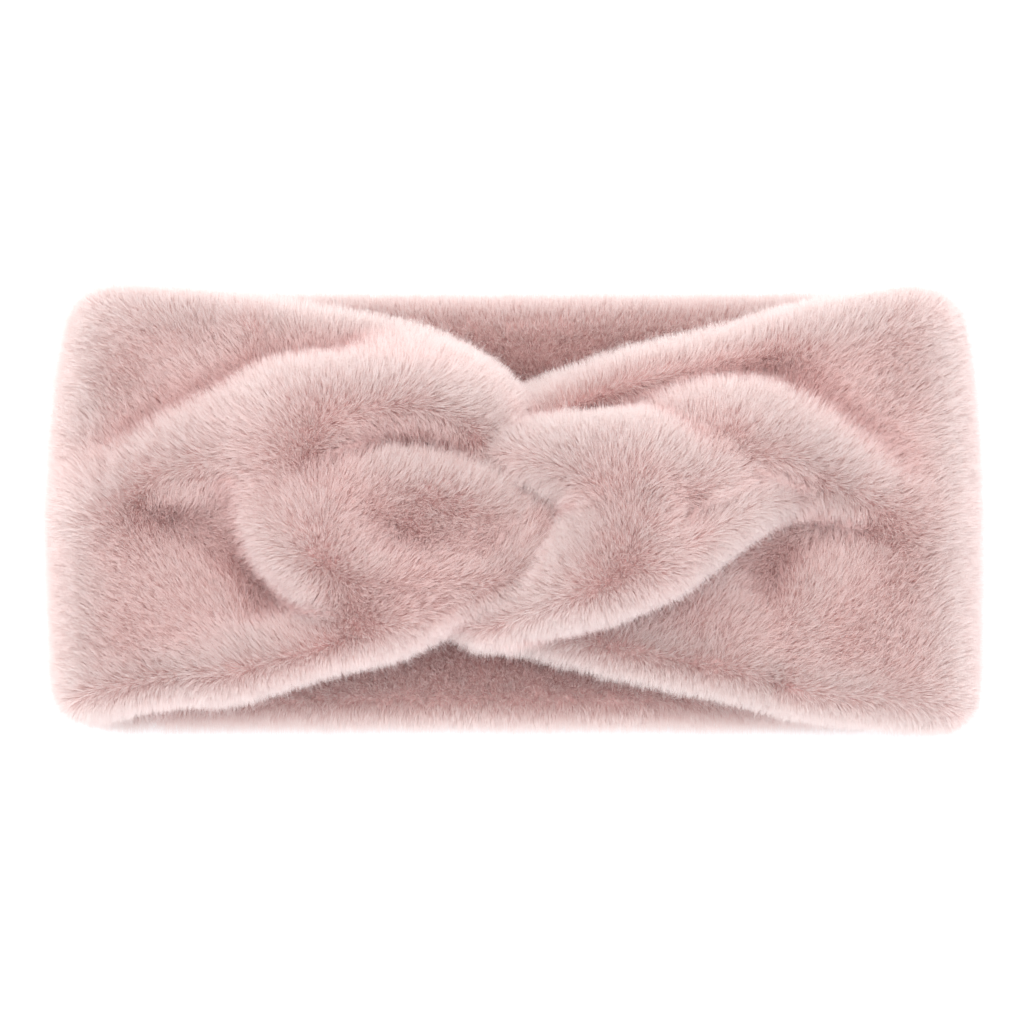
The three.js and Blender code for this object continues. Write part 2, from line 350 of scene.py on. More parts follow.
def smooth_curve(rows, steps=10):
    """Catmull-Rom through the rows, any number of columns."""
    rows = np.array(rows, float)
    padded = np.vstack([2 * rows[0] - rows[1], rows, 2 * rows[-1] - rows[-2]])
    out = []
    for i in range(len(rows) - 1):
        a, b, c, d = padded[i:i + 4]
        for t in np.arange(steps) / steps:
            out.append(0.5 * (2 * b + (c - a) * t + (2 * a - 5 * b + 4 * c - d) * t ** 2
                              + (3 * b - a - 3 * c + d) * t ** 3))
    out.append(rows[-1])
    return np.array(out)


def nearest_on(grid, rows):
    """For each column: the distance to the curve and the curve's values there."""
    curve = smooth_curve(rows)
    best = np.full(grid.x.shape, np.inf, np.float32)
    values = np.zeros(best.shape + (curve.shape[1] - 2,), np.float32)
    for start, end in zip(curve, curve[1:]):
        step = end[:2] - start[:2]
        length = float(np.hypot(*step))
        ahead = step / length
        from_x, from_y = grid.x - start[0], grid.y - start[1]
        along = from_x * ahead[0] + from_y * ahead[1]
        sideways = np.abs(from_y * ahead[0] - from_x * ahead[1])
        share = np.clip(along / length, 0, 1)
        beyond = np.abs(along - share * length)
        distance = np.hypot(sideways, beyond)
        closer = distance < best
        best[closer] = distance[closer]
        between = start[2:] + share[..., None] * (end - start)[2:]
        values[closer] = between[closer]
    return best, values


def rounded(over_edge, over_face, radius):
    """Signed distance to a body from how far each point is past its edge and past its face."""
    edge_part = over_edge + radius
    face_part = over_face + radius
    outside = np.hypot(np.maximum(edge_part, 0), np.maximum(face_part, 0))
    return outside + np.minimum(np.maximum(edge_part, face_part), 0) - radius


def fold(grid, rows):
    """Signed distance to a stuffed fold with a pillow-shaped section, along a curve seen from above."""
    power = FOLD_FULLNESS
    distance, values = nearest_on(grid, rows)
    middle, width, depth = (values[..., i][..., None] for i in range(3))
    sideways = distance[..., None] / width
    rise = np.abs(grid.z[None, None, :] - middle) / depth
    reach = (sideways ** power + rise ** power) ** (1 / power)
    slope = np.hypot(sideways ** (power - 1) / width, rise ** (power - 1) / depth)
    return (reach - 1) * reach ** (power - 1) / np.maximum(slope, LEAST_SLOPE / depth)


class Outline:
    """A sheet's edges, height and half depth at each column."""

    def __init__(self, grid, rows):
        curve = smooth_curve(rows)
        columns = grid.x[:, 0]
        self.upper, self.lower, self.height, self.depth = (
            np.interp(columns, curve[:, 0], curve[:, i])[:, None] for i in range(1, 5))
        self.first, self.last = curve[0, 0], curve[-1, 0]

    def over_edge(self, grid):
        """How far each column is past the backing's upper or lower edge."""
        over = np.full(grid.x.shape, -np.inf)
        for line, way in ((self.upper, 1), (self.lower, -1)):
            slope = np.gradient(line[:, 0], VOXEL)[:, None]
            over = np.maximum(over, way * (grid.y - line) / np.hypot(1, slope))
        return over + PILE_PROUD


def sheet(grid, outline, sign):
    """Signed distance to a stuffed sheet between its two edges, from its inner end to the side."""
    inner_end = outline.first if sign > 0 else outline.last
    over_edge = np.maximum(outline.over_edge(grid), sign * (inner_end - grid.x))[..., None]
    over_face = np.abs(grid.z[None, None, :] - outline.height[..., None]) - outline.depth[..., None]
    return rounded(over_edge, over_face, np.minimum(outline.depth[..., None], SHEET_EDGE_RADIUS))


def join(a, b, softness):
    """Union of two fields with a soft crease."""
    blend = np.maximum(softness - np.abs(a - b), 0) / softness
    return np.minimum(a, b) - blend ** 2 * softness / 4


def press(grid, field, points, width, depth):
    """Pushes the upper face in along a line seen from above."""
    rows = [(along * HALF_LENGTH, across * HALF_WIDTH) for along, across in points]
    distance = nearest_on(grid, rows)[0]
    dent = depth * np.exp(-(distance / width) ** 2)
    upper_face = np.clip((grid.z - HOLLOW_START) / HOLLOW_FADE, 0, 1)
    return field + dent[..., None] * upper_face[None, None, :]


class Side:
    """The side of a loop, where its two ends lie stacked and wrap round to the underside."""

    TURN = (TOP_LAYER - LOW_LAYER) / 2

    def __init__(self, grid, sign, bow):
        up = np.clip(grid.y / HALF_WIDTH, 0, 1)
        down = np.clip(-grid.y / HALF_WIDTH, 0, 1)
        drawn_in = (bow[0] * up ** 2 + bow[1] * down ** 2) * MM
        self.outward = (sign * grid.x + drawn_in)[..., None]
        self.height = grid.z[None, None, :]
        self.turn_x = HALF_LENGTH - PILE_PROUD - self.TURN - (TOP_HALF + LOW_HALF) / 2

    def stacked_ends(self, grid, outline):
        """Signed distance to the two layers and the turn that joins them."""
        share = np.clip((self.height - LOW_LAYER) / (TOP_LAYER - LOW_LAYER), 0, 1)
        half = LOW_HALF + (TOP_HALF - LOW_HALF) * share
        turn_z = (TOP_LAYER + LOW_LAYER) / 2
        turn = np.abs(np.hypot(self.outward - self.turn_x, self.height - turn_z) - self.TURN)
        front = np.hypot(self.height - TOP_LAYER, np.maximum(self.turn_x - SIDE_ARM - self.outward, 0))
        under_end = BACK_END + SEAM_ROOM + LOW_HALF
        under = np.hypot(self.height - LOW_LAYER, np.maximum(under_end - self.outward, 0))
        section = np.where(self.outward > self.turn_x, turn, np.minimum(front, under)) - half
        over_front = outline.over_edge(grid)[..., None]
        over_back = np.abs(grid.y)[..., None] - HALF_WIDTH + PILE_PROUD
        over_edge = over_back + (over_front - over_back) * share
        return rounded(over_edge, section, SIDE_EDGE_RADIUS)

    def room(self, grid, outline):
        """Negative inside the space that the loop's other folds may fill."""
        low, high = LOW_LAYER - LOW_HALF, TOP_LAYER + TOP_HALF
        radius = (high - low) / 2
        centre = HALF_LENGTH - PILE_PROUD - radius
        rise = (self.height - (low + high) / 2) * radius / (radius + SIDE_CROWN)
        fold_room = np.hypot(np.maximum(self.outward - centre, 0), rise) - radius
        fold_room = np.where(self.outward > centre, fold_room, WELL_INSIDE)
        return np.maximum(fold_room, outline.over_edge(grid)[..., None])


def loop_field(grid, sign, sheet_rows, folds, hollows, bow):
    """One loop: its side, its sheet and the folds gathered on it."""
    outline = Outline(grid, sheet_rows)
    side = Side(grid, sign, bow)
    room = side.room(grid, outline)
    flat_part = np.maximum(sheet(grid, outline, sign), room)
    field = join(side.stacked_ends(grid, outline), flat_part, SIDE_SOFTNESS)
    for softness, rows in folds.values():
        field = join(field, np.maximum(fold(grid, rows), room), softness * MM)
    for width, depth, points in hollows:
        field = press(grid, field, points, width * MM, depth * MM)
    return field


def back_band_field(grid):
    """A flat stuffed tube that runs to the seams at both ends."""
    middle = BACK_TOP / 2
    depth = middle - BAND_GROUND_GAP
    past_edge = np.abs(grid.y) - HALF_WIDTH + PILE_PROUD
    past_end = np.abs(grid.x) - BACK_END
    over_edge = np.maximum(past_edge, past_end)[..., None]
    return rounded(over_edge, np.abs(grid.z - middle)[None, None, :] - depth, depth)


def elastic_channel(grid):
    """The channel that the elastic lies in, a little wider and deeper than the elastic."""
    middle = (ELASTIC_HIGH + ELASTIC_LOW) / 2
    half = (ELASTIC_HIGH - ELASTIC_LOW) / 2 + ELASTIC_PLAY
    return np.maximum(np.abs(grid.y - middle[1])[..., None] - half[1],
                      np.abs(grid.z - middle[2])[None, None, :] - half[2])


# ---------------------------------------------------------------- from fields to meshes
FIELD_PASSES = 2             # how often a field is blurred before it is skinned
MESH_PASSES = 2              # how often the mesh is evened out
BACKING_TUFT = 2.4 * MM      # size and height of the tufts on the backing
BACKING_TUFT_HEIGHT = 0.55 * MM
BACKING_TUFT_FALL = 1.6      # how steeply a tuft falls away from its middle
BACKING_WAVE = 8 * MM
BACKING_WAVE_HEIGHT = 0.3 * MM
BACKING_WAVE_SEED = 51
TUFT_SEED = 11
LEAST_LENGTH = 1e-20         # keeps the division finite where a point has no face


def blur(field, passes):
    """Averages each voxel with its neighbours along each axis in turn."""
    for _ in range(passes):
        for axis in range(3):
            wide = np.pad(field, [(1, 1) if i == axis else (0, 0) for i in range(3)], mode="edge")
            before = np.take(wide, range(field.shape[axis]), axis)
            after = np.take(wide, range(2, field.shape[axis] + 2), axis)
            field = (before + 2 * field + after) / 4
    return field


def largest_body(points, quads):
    """Keeps the one connected body with the most faces."""
    label = np.arange(len(points))
    while True:
        lowest = label[quads].min(axis=1)
        fresh = label.copy()
        for corner in range(4):
            np.minimum.at(fresh, quads[:, corner], lowest)
        fresh = fresh[fresh]
        if np.array_equal(fresh, label):
            break
        label = fresh
    names, counts = np.unique(label[quads[:, 0]], return_counts=True)
    kept = label == names[counts.argmax()]
    fresh_index = np.cumsum(kept) - 1
    return points[kept], fresh_index[quads[kept[quads[:, 0]]]]


def skin(grid, field):
    """The zero surface of a field as points and quads."""
    band = 3 * VOXEL
    vdb = openvdb.FloatGrid(background=band)
    vdb.copyFromArray(np.clip(field, -band, band).astype(np.float32))
    points, quads = vdb.convertToQuads(isovalue=0.0)
    points = grid.low + np.array(points, float) * VOXEL
    return largest_body(points, np.array(quads, np.int64))


def evened(points, quads, passes):
    """Moves each point half way to the average of its neighbours, so that voxel steps go."""
    edges = np.vstack([quads[:, [i, (i + 1) % 4]] for i in range(4)])
    count = np.bincount(edges[:, 0], minlength=len(points))[:, None]
    for _ in range(passes):
        total = np.stack([np.bincount(edges[:, 0], weights=points[edges[:, 1], axis], minlength=len(points))
                          for axis in range(3)], axis=1)
        points = (points + total / np.maximum(count, 1)) / 2
    return points


def surface_normals(points, quads):
    """The outward direction at each point."""
    corner = [points[quads[:, i]] for i in range(4)]
    facing = np.cross(corner[2] - corner[0], corner[3] - corner[1])
    normals = np.zeros_like(points)
    for i in range(4):
        for axis in range(3):
            normals[:, axis] += np.bincount(quads[:, i], weights=facing[:, axis], minlength=len(points))
    return normals / np.maximum(np.linalg.norm(normals, axis=1), LEAST_LENGTH)[:, None]


def tufted(points, quads):
    """Raises the surface into small tufts and soft waves, so that it reads as plush by itself."""
    normals = surface_normals(points, quads)
    reach = np.linalg.norm(nearest_tuft(points, BACKING_TUFT, TUFT_SEED) - points, axis=1)
    tufts = BACKING_TUFT_HEIGHT * (1 - BACKING_TUFT_FALL * reach / BACKING_TUFT)
    waves = BACKING_WAVE_HEIGHT * soft_noise(points, BACKING_WAVE, BACKING_WAVE_SEED)
    return points + normals * (tufts + waves)[:, None]


def make_mesh(name, points, quads, material):
    """A smooth-shaded mesh object, linked to the scene."""
    mesh = bpy.data.meshes.new(name)
    mesh.from_pydata(points.tolist(), [], quads.tolist())
    mesh.materials.append(material)
    mesh.polygons.foreach_set("use_smooth", np.ones(len(quads), bool))
    mesh.update()
    piece = bpy.data.objects.new(name, mesh)
    bpy.context.scene.collection.objects.link(piece)
    return piece


# ---------------------------------------------------------------- pile
PILE_SEED = 11
PILE_LENGTH = 5.2 * MM
STRANDS_PER_MM2 = 19.0
STRAND_SHARES = np.array([0, 0.35, 0.7, 1.0])    # how far along a strand its points are
STRAND_RADII = np.array([0.030, 0.030, 0.023, 0.009]) * MM

# Lengths, in shares of the pile's length
SHORTEST = 0.6
LONGEST = 1.12
GUARD_SHARE = 0.05           # how many of the strands are guard hairs
GUARD_LENGTH = 1.3           # how many times longer those are
TUFT_LENGTHS = 0.12          # how much the length differs from tuft to tuft
LENGTH_NOISE = (1.5 * MM, 41)
LEAN_SHORTENS = 0.6          # how much a strand's lean takes from its length

# How strands lie, in strand lengths sideways at the tip
LEVEL_LEAN = 0.46
RIDGE_LEAN = 0.22            # more than that on ridges, and less in creases
TUFT_LEAN = 0.11             # each tuft's own way
STRAY_LEAN = 0.13            # each strand's own way
TUFT_NOISE = (0.7 * MM, (31, 32, 33))
COMB_UP = 0.75               # the nap's way: towards +Y, and away from a parting
COMB_ASIDE = 0.7
COMB_SWAY = 0.5
SWAY_NOISE = (16 * MM, (21, 22, 23))
PARTING_WIDTH = 0.12         # in half lengths of the object
BEND_POWER = 1.3             # how late along a strand it bends over
PILE_TUFT = 0.55 * MM
GATHER = 0.3                 # how far strands close up on their tuft's middle
GATHER_POWER = 1.5           # how late along a strand they do so

# Which strands are left out
HIDDEN_SHARE = 0.25          # of strands that are kept where nothing shows them
FACING_DOWN = -0.3
HIDDEN_REACH = 7 * MM        # a neighbour nearer than this hides what faces it
ROOT_REACH = 0.4 * MM        # a root nearer than this to a neighbour is left out
NEIGHBOUR_PRESS = -0.2 * MM  # how deep the middle of a strand may lie in a neighbour
FLOOR_REACH = -1.5 * MM      # how low the middle of a strand may be
LOWEST_TIP = 0.3 * MM

# The share of painted light and shade: from 0, painted shade in deep creases and under what stands over the
# surface, to 1 on crests
BULGE_REACHES = (5 * MM, 9 * MM)
BULGE_GUIDE = (0.3, 0.9, 0.3)    # any direction that the surface seldom faces
FULL_BULGE = 0.3             # the bend that counts as a whole ridge or crease, in shares of the reach
# The share on level parts, the painted light that ridges add, and the painted shade that creases take off
LEVEL_PAINTED_LIGHT = 0.64
RIDGE_PAINTED_LIGHT = 0.35
CREASE_PAINTED_SHADE = 0.25
ROOM_REACH = 9 * MM
OVERHANG_PAINTED_SHADE = 0.45            # how much painted shade is laid where something stands over the surface


def scatter(points, quads, per_mm2, rng):
    """Root points spread over the mesh, with the outward direction at each."""
    normals = surface_normals(points, quads)
    tris = np.vstack([quads[:, [0, 1, 2]], quads[:, [0, 2, 3]]])
    a, b, c = (points[tris[:, i]] for i in range(3))
    areas = np.linalg.norm(np.cross(b - a, c - a), axis=1) / 2
    count = int(areas.sum() / MM ** 2 * per_mm2)
    picked = tris[np.searchsorted(np.cumsum(areas), rng.uniform(0, areas.sum(), count))]
    u, v = rng.uniform(0, 1, (2, count))
    flip = u + v > 1
    u[flip], v[flip] = 1 - u[flip], 1 - v[flip]
    weights = np.stack([1 - u - v, u, v], axis=1)[..., None]
    roots = (points[picked] * weights).sum(axis=1)
    facing = (normals[picked] * weights).sum(axis=1)
    return roots, facing / np.linalg.norm(facing, axis=1)[:, None]


def flatten(vectors, facing):
    """Takes out of each vector its part along the outward direction."""
    return vectors - facing * (vectors * facing).sum(axis=1)[:, None]


def comb(roots, facing, parting):
    """Which way the nap lies: up across the band and away from the piece's parting, on level parts."""
    outward = np.tanh((roots[:, 0] / HALF_LENGTH - parting) / PARTING_WIDTH)
    lie = np.stack([COMB_ASIDE * outward, np.full(len(roots), COMB_UP), np.zeros(len(roots))], axis=1)
    sway = COMB_SWAY * noise_vectors(roots, *SWAY_NOISE)
    return (lie + sway) * (np.abs(facing[:, 2]) ** 2)[:, None]


def bulge_share(grid, solid, roots, facing):
    """From -1 in a crease through 0 on level parts to 1 on a ridge, from the field beside each root."""
    aside = np.cross(facing, BULGE_GUIDE)
    aside /= np.linalg.norm(aside, axis=1)[:, None]
    ahead = np.cross(facing, aside)
    total = np.zeros(len(roots))
    for reach in BULGE_REACHES:
        across, along = (
            (grid.sample(solid, roots + way * reach) + grid.sample(solid, roots - way * reach)) / 2
            for way in (aside, ahead))
        steeper = np.where(np.abs(across) > np.abs(along), across, along)
        total += np.clip(steeper / (reach * FULL_BULGE), -1, 1) / len(BULGE_REACHES)
    return total


def painted_light_and_shade(grid, solid, roots, facing):
    """From 0, painted shade in deep creases and under overhangs, to 1 on crests: it sets the colour of the
    pile and of the backing.
    """
    room = np.minimum(grid.sample(solid, roots + facing * ROOM_REACH) / ROOM_REACH, 1)
    bulge = bulge_share(grid, solid, roots, facing)
    bend = np.where(bulge > 0, RIDGE_PAINTED_LIGHT, CREASE_PAINTED_SHADE) * bulge
    return np.clip(LEVEL_PAINTED_LIGHT + bend - OVERHANG_PAINTED_SHADE * (1 - room), 0, 1)


def kept_roots(grid, roots, facing, neighbours, draw):
    """Which strands grow: none inside a neighbour or the floor, and few where they are hidden."""
    middle = roots + facing * PILE_LENGTH / 2
    hidden = facing[:, 2] < FACING_DOWN
    clear = middle[:, 2] > FLOOR_REACH
    for field in neighbours:
        clear &= grid.sample(field, middle) > NEIGHBOUR_PRESS
        clear &= grid.sample(field, roots + facing * ROOT_REACH) > 0
        hidden |= grid.sample(field, roots + facing * HIDDEN_REACH) < 0
    return clear & (~hidden | (draw < HIDDEN_SHARE))


def strand_leans(roots, facing, centres, bulge, nap, rng):
    """How far each strand's tip lies over, in strand lengths."""
    lean = flatten(comb(roots, facing, nap["parting"]), facing)
    lean *= (nap["lean"] * (LEVEL_LEAN + RIDGE_LEAN * bulge))[:, None]
    tuft_way = noise_vectors(centres, *TUFT_NOISE)
    stray_way = rng.normal(0, 1, (len(roots), 3))
    return lean + flatten(TUFT_LEAN * tuft_way + STRAY_LEAN * stray_way, facing)


def strand_lengths(centres, lean, rng):
    """Each strand's length: uneven, even more so from tuft to tuft, with a few long guard hairs."""
    length = PILE_LENGTH * rng.uniform(SHORTEST, LONGEST, len(centres))
    length *= 1 + TUFT_LENGTHS * soft_noise(centres, *LENGTH_NOISE)
    length /= np.sqrt(1 + (lean ** 2).sum(axis=1) * LEAN_SHORTENS)
    return length * np.where(rng.uniform(0, 1, len(centres)) < GUARD_SHARE, GUARD_LENGTH, 1)


def strand_points(roots, facing, centres, lean, length):
    """The points along every strand, which bends over late and closes up on its tuft's middle."""
    gather = flatten(centres - roots, facing)
    strands = np.zeros((len(roots), len(STRAND_SHARES), 3))
    for i, share in enumerate(STRAND_SHARES):
        bent = lean * share ** BEND_POWER
        closed = gather * GATHER * share ** GATHER_POWER
        strands[:, i] = roots + (facing * share + bent) * length[:, None] + closed
    strands[:, :, 2] = np.maximum(strands[:, :, 2], LOWEST_TIP)
    return strands


def make_curves(name, strands, light_and_shade, material):
    """Hair curves through the points of each strand, with its share of painted light and shade for the
    material.
    """
    count, steps = strands.shape[:2]
    curves = bpy.data.hair_curves.new(name)
    curves.add_curves([steps] * count)
    curves.points.foreach_set("position", strands.ravel().astype(np.float32))
    curves.points.foreach_set("radius", np.tile(STRAND_RADII, count).astype(np.float32))
    store_light_and_shade(curves, np.repeat(light_and_shade, steps))
    curves.materials.append(material)
    pile = bpy.data.objects.new(name, curves)
    bpy.context.scene.collection.objects.link(pile)
    return pile


def store_light_and_shade(data, light_and_shade):
    """Keeps the share of painted light and shade at every point, where the materials read it."""
    data.attributes.new("light_and_shade", "FLOAT", "POINT").data.foreach_set("value", light_and_shade.astype(np.float32))


def grow_pile(name, grid, skinned, solid, neighbours, nap, material):
    """The pile of one piece, rooted on its smooth mesh."""
    rng = np.random.default_rng(PILE_SEED)
    roots, facing = scatter(*skinned, STRANDS_PER_MM2, rng)
    kept = kept_roots(grid, roots, facing, neighbours, rng.uniform(0, 1, len(roots)))
    roots, facing = roots[kept], facing[kept]
    centres = nearest_tuft(roots, PILE_TUFT, TUFT_SEED)
    lean = strand_leans(roots, facing, centres, bulge_share(grid, solid, roots, facing), nap, rng)
    length = strand_lengths(centres, lean, rng)
    strands = strand_points(roots, facing, centres, lean, length)
    # Painted shade in creases and under overhangs, taken deeper on the back band, which lies under the
    # loops.
    light_and_shade = painted_light_and_shade(grid, solid, roots, facing) - nap["depth"]
    return make_curves(name, strands, light_and_shade, material)


# ---------------------------------------------------------------- materials
# Colours are linear. Each ramp is a list of a place and the colour there.
# The strands' colour by that share: dark rose in creases as painted shade, pale on level parts, and greyer
# and darker again on the highest crests, set against the light that they catch.
TIP_PAINTED_LIGHT_AND_SHADE = [(0.05, (0.83, 0.60, 0.58)), (0.6, (0.965, 0.88, 0.86)), (1.0, (0.87, 0.82, 0.80))]
# Painted shade in the pile: each strand darker towards its root.
ROOT_SHADE_TO_TIP = [(0.1, (0.88, 0.70, 0.69)), (0.5, (0.96, 0.87, 0.86)), (0.95, (1, 1, 1))]
# The backing: darker away from each tuft's middle, painted shade between the tufts.
TUFT_GAP_SHADE_COLOURS = [(0.1, (0.80, 0.60, 0.58)), (0.5, (0.72, 0.49, 0.47)), (0.85, (0.56, 0.33, 0.32))]
# The backing's painted shade in creases and under overhangs.
CREASE_SHADE_COLOURS = [(0.35, (0.48, 0.26, 0.25)), (0.65, (0.64, 0.41, 0.39))]
# Rib colours: darker in the grooves as painted shade, lighter on the ribs.
ELASTIC_GROOVE_SHADE_COLOURS = [(0.2, (0.62, 0.55, 0.53)), (0.75, (0.90, 0.86, 0.84))]
THREAD_GROOVE_SHADE_COLOURS = [(0.2, (0.66, 0.42, 0.40)), (0.75, (0.90, 0.72, 0.70))]
FLOOR_COLOUR = (0.93, 0.93, 0.93)
FLOOR_ROUGHNESS = 0.9
STRAND_ROUGHNESS = 0.65
SEE_THROUGH = 0.4            # how much of the light passes through a strand
BUMP_STRENGTH = 0.7
SHEEN_ROUGHNESS = 0.5
WAVE_SCALE = 2 * math.pi / 20    # the wave texture's scale that makes one wave in one metre


def new_material(name):
    """An empty material with its nodes and links."""
    material = bpy.data.materials.new(name)
    material.use_nodes = True
    return material, material.node_tree.nodes, material.node_tree.links


def floor_material():
    """Plain pale paper."""
    material, nodes, _ = new_material("floor_paper")
    shader = nodes["Principled BSDF"]
    shader.inputs["Base Color"].default_value = (*FLOOR_COLOUR, 1)
    shader.inputs["Roughness"].default_value = FLOOR_ROUGHNESS
    return material


def texture(nodes, kind, place_at, size, **values):
    """A texture node with features of the given size, in the object's own space."""
    node = nodes.new(kind)
    node.id_data.links.new(place_at, node.inputs["Vector"])
    node.inputs["Scale"].default_value = 1 / size
    for name, value in values.items():
        node.inputs[name].default_value = value
    return node


def ramp_of(nodes, source, stops):
    """A colour ramp through the stops, fed by a node's output."""
    ramp = nodes.new("ShaderNodeValToRGB")
    elements = ramp.color_ramp.elements
    elements[0].position, elements[0].color = stops[0][0], (*stops[0][1], 1)
    elements[1].position, elements[1].color = stops[-1][0], (*stops[-1][1], 1)
    for position, colour in stops[1:-1]:
        elements.new(position).color = (*colour, 1)
    ramp.id_data.links.new(source, ramp.inputs["Fac"])
    return ramp.outputs["Color"]


def mixed(nodes, first, second, share):
    """A number part of the way from one output to another."""
    mix = nodes.new("ShaderNodeMix")
    mix.inputs["Factor"].default_value = share
    links = mix.id_data.links
    links.new(first, mix.inputs["A"])
    links.new(second, mix.inputs["B"])
    return mix.outputs["Result"]


def colour_mix(nodes, first, second, kind):
    """A mix node of two colour outputs. The caller sets its factor."""
    mix = nodes.new("ShaderNodeMix")
    mix.data_type = "RGBA"
    mix.blend_type = kind
    links = mix.id_data.links
    links.new(first, mix.inputs["A"])
    links.new(second, mix.inputs["B"])
    return mix


def light_and_shade_output(nodes):
    """The share of painted light and shade that each piece and strand carries."""
    light_and_shade = nodes.new("ShaderNodeAttribute")
    light_and_shade.attribute_name = "light_and_shade"
    return light_and_shade.outputs["Fac"]


def finish_surface(nodes, height, distance, roughness, sheen):
    """Bump from a height, and the shader's own numbers."""
    shader = nodes["Principled BSDF"]
    bump = nodes.new("ShaderNodeBump")
    bump.inputs["Strength"].default_value = BUMP_STRENGTH
    bump.inputs["Distance"].default_value = distance
    links = shader.id_data.links
    links.new(height, bump.inputs["Height"])
    links.new(bump.outputs["Normal"], shader.inputs["Normal"])
    shader.inputs["Roughness"].default_value = roughness
    shader.inputs["Sheen Weight"].default_value = sheen
    shader.inputs["Sheen Roughness"].default_value = SHEEN_ROUGHNESS


def pile_material():
    """Strands: rose as painted shade in creases and under overhangs, pale elsewhere, deeper at the root as
    painted shade in the pile, and slightly see-through.
    """
    material, nodes, links = new_material("pile")
    shader = nodes["Principled BSDF"]
    painted_tip = ramp_of(nodes, light_and_shade_output(nodes), TIP_PAINTED_LIGHT_AND_SHADE)
    along = nodes.new("ShaderNodeHairInfo").outputs["Intercept"]
    colour = colour_mix(nodes, painted_tip, ramp_of(nodes, along, ROOT_SHADE_TO_TIP), "MULTIPLY")
    colour.inputs["Factor"].default_value = 1
    links.new(colour.outputs["Result"], shader.inputs["Base Color"])
    shader.inputs["Roughness"].default_value = STRAND_ROUGHNESS
    through = nodes.new("ShaderNodeBsdfTranslucent")
    links.new(colour.outputs["Result"], through.inputs["Color"])
    both = nodes.new("ShaderNodeMixShader")
    both.inputs["Fac"].default_value = SEE_THROUGH
    links.new(shader.outputs["BSDF"], both.inputs[1])
    links.new(through.outputs["BSDF"], both.inputs[2])
    links.new(both.outputs["Shader"], nodes["Material Output"].inputs["Surface"])
    return material


def plush_material():
    """Plush seen without its pile: rose between the tufts and in creases as painted shade, paler on tufts.
    """
    material, nodes, links = new_material("plush")
    where = nodes.new("ShaderNodeTexCoord").outputs["Object"]
    tufts = texture(nodes, "ShaderNodeTexVoronoi", where, size=1.3 * MM).outputs["Distance"]
    fibres = texture(nodes, "ShaderNodeTexNoise", where, size=0.7 * MM, Detail=3.0).outputs["Fac"]
    patches = texture(nodes, "ShaderNodeTexNoise", where, size=9 * MM, Detail=2.0).outputs["Fac"]
    tuft_gap_shade = ramp_of(nodes, tufts, TUFT_GAP_SHADE_COLOURS)
    crease_shade = ramp_of(nodes, mixed(nodes, fibres, patches, share=0.4), CREASE_SHADE_COLOURS)
    # Crease colour where the share of painted light and shade is low, tuft colour where it is high.
    blend = colour_mix(nodes, crease_shade, tuft_gap_shade, "MIX")
    links.new(light_and_shade_output(nodes), blend.inputs["Factor"])
    links.new(blend.outputs["Result"], nodes["Principled BSDF"].inputs["Base Color"])
    height = mixed(nodes, tufts, fibres, share=0.5)
    finish_surface(nodes, height, distance=0.3 * MM, roughness=0.9, sheen=0.4)
    return material


def ribbed_material(name, rib, turn, groove_shade_colours, roughness):
    """Fine parallel ribs at an angle seen from above, as in woven elastic or twisted thread, with painted
    shade that darkens the grooves between the ribs.
    """
    material, nodes, links = new_material(name)
    turned = nodes.new("ShaderNodeMapping")
    turned.inputs["Rotation"].default_value = (0, 0, math.radians(turn))
    links.new(nodes.new("ShaderNodeTexCoord").outputs["Object"], turned.inputs["Vector"])
    where = turned.outputs["Vector"]
    ribs = texture(nodes, "ShaderNodeTexWave", where, size=rib / WAVE_SCALE, Distortion=1.5)
    lint = texture(nodes, "ShaderNodeTexNoise", where, size=rib / 3, Detail=3.0)
    height = mixed(nodes, ribs.outputs["Fac"], lint.outputs["Fac"], share=0.35)
    # Painted shade: the colour follows the rib height and is darker in the grooves; the lint adds random
    # tone.
    links.new(ramp_of(nodes, height, groove_shade_colours), nodes["Principled BSDF"].inputs["Base Color"])
    finish_surface(nodes, height, distance=rib / 3, roughness=roughness, sheen=0.2)
    return material


def dress_nodes():
    """Gives the CAD's elastic and threads their finish. Their shapes stay as they are."""
    elastic = ribbed_material("woven_elastic", rib=1.1 * MM, turn=0, groove_shade_colours=ELASTIC_GROOVE_SHADE_COLOURS, roughness=0.7)
    thread = ribbed_material("twisted_thread", rib=0.35 * MM, turn=40, groove_shade_colours=THREAD_GROOVE_SHADE_COLOURS,
                             roughness=0.55)
    for name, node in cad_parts.items():
        if name == "back_elastic":
            node.data.materials.clear()
            node.data.materials.append(elastic)
        elif name.endswith("seam"):
            node.data.materials.clear()
            node.data.materials.append(thread)


# ---------------------------------------------------------------- the three plush pieces
# For each piece: the CAD node it stands for, its material slot, and its nap: where it parts, in half
# lengths, how much of the lean it takes, and how much deeper its colour is, which is painted shade on the
# back band under the loops.
PIECES = {
    "left_plush": ("left_loop", "plush_front", {"parting": -0.44, "lean": 1.0, "depth": 0.0}),
    "right_plush": ("right_loop", "plush_front", {"parting": 0.18, "lean": 1.0, "depth": 0.0}),
    "back_plush": ("back_band", "plush_back", {"parting": 0.0, "lean": 0.3, "depth": 0.08}),
}


